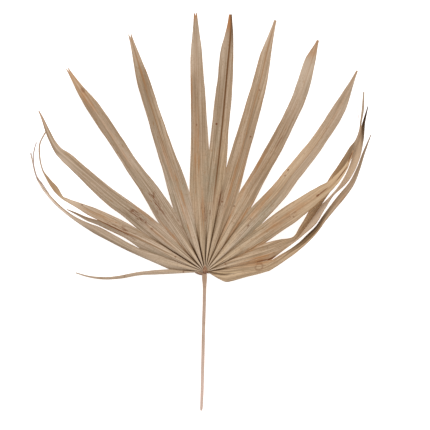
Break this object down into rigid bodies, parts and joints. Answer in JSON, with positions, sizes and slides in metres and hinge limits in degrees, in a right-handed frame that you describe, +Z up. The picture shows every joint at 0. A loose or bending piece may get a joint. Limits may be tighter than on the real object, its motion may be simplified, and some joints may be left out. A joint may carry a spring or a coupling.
{
  "type": "fan palm leaf",
  "caption": "Dried fan palm leaf cut with its thin stalk, lying face up: a pleated khaki fan split into long pointed segments, the outer ones curled up",
  "frame": {"origin": "on the table, under the middle of the leaf's outline", "axes": "+Y from the stalk's cut end to the leaf tips, +X to the right seen from above, +Z up from the table"},
  "size_m": [0.4256, 0.4982, 0.043],
  "materials": {
    "fan_blade": "dried leaf, dull khaki beige",
    "petiole": "dried stalk, pinkish tan"
  },
  "bodies": {
    "root": {"fan_blade": "fan_blade", "petiole": "petiole"}
  },
  "joints": []
}
